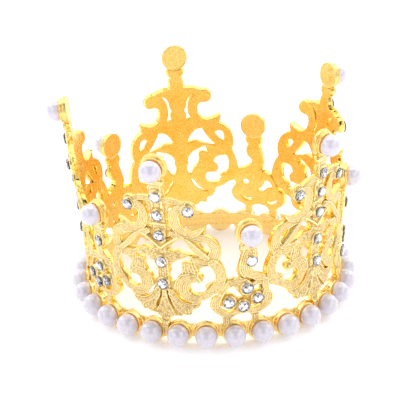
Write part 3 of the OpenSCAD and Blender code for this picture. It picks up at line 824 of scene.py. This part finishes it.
def cut_glass():
    p = Paint("cut_glass")
    rough = p.ranged(p.noise(0.6, 2.0), 0.3, 0.7, 0.0, 0.03)
    tint = p.mixed(p.ranged(p.noise(1.2), 0.4, 0.6), (0.97, 0.98, 1.0), (1.0, 1.0, 1.0))
    return p.finish(Base_Color=tint, Roughness=rough, IOR=1.58, Transmission_Weight=1.0)


def mirror_foil():
    p = Paint("mirror_foil")
    # Foil facets darken by their shade mark: painted dark reflections.
    tint = p.mixed(p.mark("shade"), (0.98, 0.98, 1.0), (0.16, 0.15, 0.17))
    rough = p.ranged(p.noise(0.5, 2.0), 0.3, 0.7, 0.03, 0.08)
    return p.finish(Base_Color=tint, Metallic=1.0, Roughness=rough)


def stone_dark_side():
    """A dark brown ring at the side of a foiled stone, under its girdle."""
    p = Paint("stone_dark_side")
    tint = p.mixed(p.ranged(p.noise(0.4, 2.0), 0.35, 0.65), (0.055, 0.035, 0.02), (0.16, 0.09, 0.035))
    rough = p.ranged(p.noise(0.5, 2.0), 0.3, 0.7, 0.2, 0.35)
    return p.finish(Base_Color=tint, Metallic=0.35, Roughness=rough)


ENGRAVED_GOLD = antique_gold()
POLISHED = plated_gold("polished_gold", (1.0, 0.77, 0.33), (0.98, 0.79, 0.40), 0.2, 0.1)
SATIN = plated_gold("satin_gold", (1.0, 0.70, 0.23), (0.97, 0.72, 0.30), 0.26, 0.9)
NACRE = nacre()
GLASS = cut_glass()
FOIL = mirror_foil()
DARK_SIDE = stone_dark_side()


# ---------------------------------------------------------------- the pieces
def pearl_cup(outer, flange, flange_top, seed):
    """A turned cup: flange, wall, and a rim that is rolled in against the pearl."""
    grip = math.sqrt(PEARL_R ** 2 - (PEARL_OUT - CUP_H + 0.1) ** 2) + 0.03
    profile = rounded([
        (0, 0.12), (flange - 0.42, 0.12), (flange - 0.3, 0.02), (flange, 0.08), (flange, flange_top),
        (outer - 0.16, flange_top + 0.12), (outer - 0.14, CUP_H - 0.5), (outer, CUP_H - 0.32),
        (outer - 0.06, CUP_H), (grip + 0.02, CUP_H - 0.02), (grip, CUP_H - 0.25),
        (PEARL_R - 0.5, CUP_FLOOR), (0, CUP_FLOOR)], 0.12)
    return turned(profile, 64, 0.02, seed)


def pearl(seed):
    """A pearl, cut flat where it is glued, very slightly out of round, tinted orange low on it by
    the cup's rim: part adhesive, part painted reflected gold light.
    """
    low = -math.acos((PEARL_OUT - CUP_FLOOR) / PEARL_R)
    height = np.linspace(-math.pi / 2 - low, math.pi / 2, 36)
    profile = np.stack([PEARL_R * np.cos(height), PEARL_R * np.sin(height)], -1)
    profile = np.concatenate([[(0, profile[0][1])], profile[:-1], [(0, PEARL_R)]])
    part = turned(profile, 64, 0.012, seed)
    # Orange tint low on the pearl: part adhesive, part painted reflected gold light.
    part.marks["glue"] = smoothstep(-part.verts[:, 2], 0.65, 1.25)
    tilt = Matrix.Rotation(2.4 * seed, 4, "Z")
    return part.moved(Matrix.Translation((0, 0, PEARL_OUT)) @ tilt)


def stone_seat(seed):
    """A stone's shallow cup, sunk in the panel's pad."""
    top, floor = PANEL_T + SEAT_TOP, PANEL_T + SEAT_FLOOR
    profile = rounded([
        (0, SEAT_LOW), (SEAT_R, SEAT_LOW), (SEAT_R, PANEL_T - 0.1), (STONE_R + 0.02, PANEL_T + 0.02),
        (STONE_R - 0.02, top - 0.06), (STONE_R - 0.08, top), (STONE_R - 0.2, top - 0.02),
        (STONE_R - 0.28, floor), (0, floor)], 0.06, 4)
    return turned(profile, 44, 0.02, seed)


def cut_stone(seed):
    """A round brilliant: table, crown and pavilion facets, foil behind and a dark brown side."""
    def ring(radius, height, turn_by, count):
        a = (np.arange(count) + turn_by) * 2 * math.pi / count
        return np.stack([radius * np.cos(a), radius * np.sin(a), np.full(count, height)], -1)

    girdle = PANEL_T + STONE_OUT
    table_r, star_r = 0.56 * STONE_R, 0.78 * STONE_R
    i = np.arange(8)
    j = (i + 1) % 8
    verts = np.concatenate([
        ring(table_r, girdle + STONE_CROWN, 0, 8),
        ring(star_r, girdle + 0.72 * STONE_CROWN, 0.5, 8),
        ring(STONE_R, girdle, 0, 16),
        ring(STONE_R, girdle - 0.05, 0, 16),
        ring(0.62 * STONE_R, girdle - 0.2, 0.5, 8),
        [[0, 0, girdle - 0.32]]])
    star, rim, low, culet = 8, 16, 32, 56
    back = 48
    k = np.arange(16)
    m = (k + 1) % 16
    glass = [(0, a, a + 1) for a in range(1, 7)]
    for a, b in zip(i, j):
        glass.append((a, star + a, b))
        glass.append((a, rim + 2 * a, star + a))
        glass.append((star + a, rim + 2 * b, b))
        glass.append((rim + 2 * a, rim + 2 * a + 1, star + a))
        glass.append((rim + 2 * a + 1, rim + 2 * b, star + a))
    foil = []
    for a, b in zip(k, m):
        foil.append((rim + a, low + a, low + b))
        foil.append((rim + a, low + b, rim + b))
    for a, b in zip(i, j):
        foil.append((low + 2 * a, back + a, low + 2 * a + 1))
        foil.append((low + 2 * a + 1, back + a, low + 2 * b))
        foil.append((low + 2 * b, back + a, back + b))
        foil.append((back + a, culet, back + b))
    foil = np.array(foil)
    # Random dark foil facets: painted dark reflections, for sparkle.
    shades = np.random.default_rng(seed).choice([0.0, 0.15, 0.5, 0.95], len(foil), p=[0.4, 0.2, 0.2, 0.2])
    shades[:32] = 0
    shades[32:] *= np.tile([0.7, 0.7, 1, 1], 8)
    apart = np.arange(3 * len(foil)).reshape(-1, 3)
    backing = Part(verts[foil.ravel()], apart, 1, False, shade=np.repeat(shades, 3))
    spin = Matrix.Rotation(1.7 * seed, 4, "Z")
    side = turned(rounded([
        (0, PANEL_T + 0.11), (STONE_R - 0.3, PANEL_T + 0.11), (STONE_R - 0.08, girdle - 0.15),
        (STONE_R + 0.01, girdle - 0.06), (STONE_R - 0.04, girdle - 0.1),
        (0.63 * STONE_R, girdle - 0.25), (0, girdle - 0.36)], 0.03, 3), 40, 0.01, seed, paint=2)
    return [Part(verts, glass, 0, False).moved(spin), backing.moved(spin), side]


def ring_strip():
    """The strip that the ring is made of, with a crease inside and a slight waviness."""
    inner, outer, crease = INNER_R, INNER_R + STRIP_T, 0.3
    profile = rounded([
        (inner + 0.02, STRIP_LOW), (outer, STRIP_LOW), (outer, STRIP_TOP), (inner + 0.02, STRIP_TOP),
        (inner + 0.02, crease + 0.7), (inner + 0.09, crease + 0.1), (inner + 0.02, crease - 0.5),
        (inner + 0.02, STRIP_LOW), (outer, STRIP_LOW)], 0.12, 4)[1:-1]
    around = 480
    angle = np.arange(around) * 2 * math.pi / around
    rows = []
    wave = 0.03 * np.sin(15 * angle + 1.3) + 0.02 * np.sin(37 * angle)
    for r, z in profile:
        radius = r + wave * (r < outer)
        rows.append(np.stack([radius * np.sin(angle), -radius * np.cos(angle),
                              z + 0.03 * np.sin(11 * angle)], -1))
    verts = np.concatenate(rows)
    n, i = len(rows), np.arange(around)
    j = (i + 1) % around
    faces = []
    for row in range(n):
        a, b = row * around, (row + 1) % n * around
        faces.append(np.stack([a + i, a + j, b + j, b + i], -1))
    return Part(verts, np.concatenate(faces))


def solder_lump():
    """Two run-together drops of solder with a pinhole, on the inside of the strip."""
    rows, around = 22, 64
    angle = np.arange(around) * 2 * math.pi / around
    verts, faces = [], []
    for k in range(rows):
        t = (k + 1) / rows
        radius = 1.15 + 0.28 * np.cos(2 * angle) + 0.12 * np.sin(3 * angle + 0.7)
        x = 1.75 * t * radius * np.cos(angle)
        z = 0.72 + 1.05 * t * radius * np.sin(angle) - 0.25 * np.tanh(x)
        z = np.clip(z, STRIP_LOW + 0.1, STRIP_TOP - 0.1)
        high = 0.36 * math.sqrt(max(0.0, 1 - t * t)) * (1 - 0.45 * np.exp(-(x / 0.5) ** 2))
        high = high - 0.5 * np.exp(-((x - 0.55) ** 2 + (z - 1.0) ** 2) / 0.035) - 0.05 * (t == 1)
        verts.append(np.stack([x, -(INNER_R - high), z], -1))
    i = np.arange(around)
    j = (i + 1) % around
    for row in range(rows - 1):
        a, b = row * around, (row + 1) * around
        faces += [np.stack([a + i, b + j, a + j], -1), np.stack([a + i, b + i, b + j], -1)]
    points = np.concatenate(verts)
    middle = points[:around].mean(0)
    behind = np.array([0, -(INNER_R + 0.2), 0.7])
    points = np.concatenate([points, [middle, behind]])
    first, last = len(points) - 2, (rows - 1) * around
    faces.append(np.stack([np.full(around, first), i, j], -1))
    faces.append(np.stack([np.full(around, first + 1), last + j, last + i], -1))
    return Part(points, np.concatenate(faces)).moved(turn(SEAM_AT))


def cup_notch(tip, radius, half):
    """The arc along which a panel ends in its tip's plate."""
    s = np.linspace(half, -half, 14)
    return np.stack([s, tip[1] - np.sqrt((radius - 0.3) ** 2 - (s - tip[0]) ** 2)], -1)


right = loop(TALL_EDGE, OUTLINE_PITCH)[1:]
tall_outline = np.concatenate([right, [(0.9, -1.3), (-0.9, -1.3)], mirrored(right),
                               cup_notch(TALL_TIP, TIP_PLATE_R, 1.9)[::-1][1:-1]])
tall_loops = [tall_outline]
for opening in TALL_HOLES:
    ring = loop(opening, OUTLINE_PITCH)
    tall_loops += [ring, mirrored(ring)]
tall_cast = cast_panel(tall_loops, TALL_STROKES, TALL_GROOVES, TALL_STONES, True)
short_loops = [loop(runs, OUTLINE_PITCH) for runs in [SHORT_EDGE] + SHORT_HOLES]
short_cast = cast_panel(short_loops, SHORT_STROKES, SHORT_GROOVES, SHORT_STONES, False)

piece("base_strip", [ring_strip()], [SATIN])
piece("seam_solder", [solder_lump()], [SATIN])
for i in range(SIDES):
    number = str(i + 1)
    cups = [k + i * CUPS_PER_SIDE for k in range(CUPS_PER_SIDE)]
    piece("base_cups_" + number,
          [pearl_cup(CUP_R, FLANGE_R, FLANGE_TOP, k).moved(at_cup(k)) for k in cups], [POLISHED])
    piece("base_pearls_" + number, [pearl(k).moved(at_cup(k)) for k in cups], [NACRE])
    piece("tall_panel_" + number,
          [panel_part(tall_cast, at_tall(i), TALL_STEP, 20.0 * i)], [ENGRAVED_GOLD])
    piece("short_panel_" + number,
          [panel_part(short_cast, at_short(i), SHORT_STEP, 20.0 * i + 110)], [ENGRAVED_GOLD])
    tall_tip, short_tip = at_tall(i) @ on_tip(*TALL_TIP), at_short(i) @ on_tip(*SHORT_TIP)
    piece("tall_tip_cup_" + number,
          [pearl_cup(TIP_CUP_R, TIP_PLATE_R, TIP_PLATE_TOP, i).moved(tall_tip)], [SATIN])
    piece("short_tip_cup_" + number,
          [pearl_cup(TIP_CUP_R, TIP_PLATE_R, TIP_PLATE_TOP, i + 7).moved(short_tip)], [SATIN])
    for kind, place, spots in (("tall", at_tall(i), TALL_STONES),
                               ("short", at_short(i), SHORT_STONES)):
        places = [place @ on_wall(*spot) for spot in spots]
        piece(f"{kind}_stone_cups_{number}",
              [stone_seat(k + 3 * i).moved(m) for k, m in enumerate(places)], [POLISHED])
        piece(f"{kind}_stones_{number}",
              [part.moved(m) for k, m in enumerate(places) for part in cut_stone(k + 5 * i)],
              [GLASS, FOIL, DARK_SIDE])
piece("tall_tip_pearls",
      [pearl(i + 40).moved(at_tall(i) @ on_tip(*TALL_TIP)) for i in range(SIDES)], [NACRE])
piece("short_tip_pearls",
      [pearl(i + 50).moved(at_short(i) @ on_tip(*SHORT_TIP)) for i in range(SIDES)], [NACRE])

# ---------------------------------------------------------------- the studio
FLOOR_Z = cad_box[0].z
ELEVATION = math.radians(25.855)
ROLL = math.radians(-1.917)
DISTANCE = 628.1 * MM
AIM = Vector((-1.092, 0, 20.666)) * MM
SENSOR = 36.0
LENS = 193.33


def make_floor():
    size = 6.0
    mesh = bpy.data.meshes.new("floor_mesh")
    mesh.from_pydata([(-size, -size, FLOOR_Z), (size, -size, FLOOR_Z), (size, size, FLOOR_Z),
                      (-size, size, FLOOR_Z)], [], [(0, 1, 2, 3)])
    p = Paint("white_sweep")
    tone = p.mixed(p.ranged(p.noise(90.0, 1.0), 0.3, 0.7), (0.90, 0.90, 0.905), (0.915, 0.915, 0.915))
    mesh.materials.append(p.finish(Base_Color=tone, Roughness=0.75, Specular_IOR_Level=0.2,
                                   Emission_Color=(1.0, 1.0, 1.0, 1.0), Emission_Strength=0.28))
    floor = bpy.data.objects.new("floor", mesh)
    bpy.context.scene.collection.objects.link(floor)


def make_tent():
    """Light from all around, as in a white tent, with a T-shaped slit in front for the camera."""
    world = bpy.data.worlds.new("tent")
    bpy.context.scene.world = world
    world.use_nodes = True
    tree = world.node_tree
    tree.nodes.clear()

    def node(kind, settings=None, **inputs):
        return add_node(tree, kind, settings, **inputs)

    def maths(operation, a, b=0.0, c=1.0):
        return node("Math", {"operation": operation}, _0=a, _1=b, _2=c).outputs[0]

    def band(value, low, high, soft):
        """1 between low and high, falling to 0 over soft on each side."""
        eased = {"interpolation_type": "SMOOTHSTEP"}
        rise = node("MapRange", eased, _0=value, _1=low - soft, _2=low).outputs[0]
        fall = node("MapRange", eased, _0=value, _1=high, _2=high + soft, _3=1.0, _4=0.0).outputs[0]
        return maths("MULTIPLY", rise, fall)

    way = node("TexCoord").outputs["Generated"]
    x, y, z = node("SeparateXYZ", _0=way).outputs
    front = maths("MULTIPLY", y, -1.0)
    height = maths("ARCTAN2", z, front)
    slit = maths("MULTIPLY", band(x, -0.11, 0.11, 0.08), band(height, 0.15, 1.25, 0.12))
    bar = maths("MULTIPLY", band(x, -0.46, 0.46, 0.2), band(height, 1.18, 1.42, 0.1))
    dark = maths("MAXIMUM", slit, bar)
    seam = maths("MULTIPLY", band(maths("ABSOLUTE", x), 0.80, 0.86, 0.03), band(z, 0.0, 0.75, 0.1))
    dark = maths("MAXIMUM", dark, maths("MULTIPLY", seam, 0.6))
    bright = maths("SUBTRACT", 1.0, maths("MULTIPLY", dark, 0.92))
    boxes = maths("MULTIPLY", band(maths("ABSOLUTE", x), 0.55, 0.78, 0.06), band(z, 0.25, 0.7, 0.08))
    top = band(z, 0.93, 1.1, 0.05)
    behind = band(height, 1.75, 2.9, 0.2)
    lamps = maths("MULTIPLY_ADD", maths("MAXIMUM", boxes, top), 1.2, 0.75)
    lamps = maths("MULTIPLY_ADD", behind, 0.6, lamps)
    light = maths("MULTIPLY", bright, lamps)
    seen = node("LightPath").outputs["Is Camera Ray"]
    light = node("Mix", {"data_type": "FLOAT"}, _0=seen, _2=light, _3=1.2).outputs[0]
    shader = node("Background", Color=(1.0, 1.0, 1.0, 1.0), Strength=light)
    out = node("OutputWorld")
    tree.links.new(shader.outputs[0], out.inputs["Surface"])


def make_camera():
    back = Vector((0, -math.cos(ELEVATION), math.sin(ELEVATION)))
    camera = bpy.data.objects.new("camera", bpy.data.cameras.new("camera"))
    camera.data.sensor_width = SENSOR
    camera.data.lens = LENS
    camera.data.clip_start = 0.01
    camera.data.clip_end = 50.0
    aimed = back.to_track_quat("Z", "Y").to_matrix().to_4x4() @ Matrix.Rotation(ROLL, 4, "Z")
    camera.matrix_world = Matrix.Translation(AIM + back * DISTANCE) @ aimed
    bpy.context.scene.collection.objects.link(camera)
    bpy.context.scene.camera = camera


make_floor()
make_tent()
make_camera()
bpy.context.scene.view_settings.view_transform = "Standard"
bpy.context.scene.view_settings.exposure = 0.0
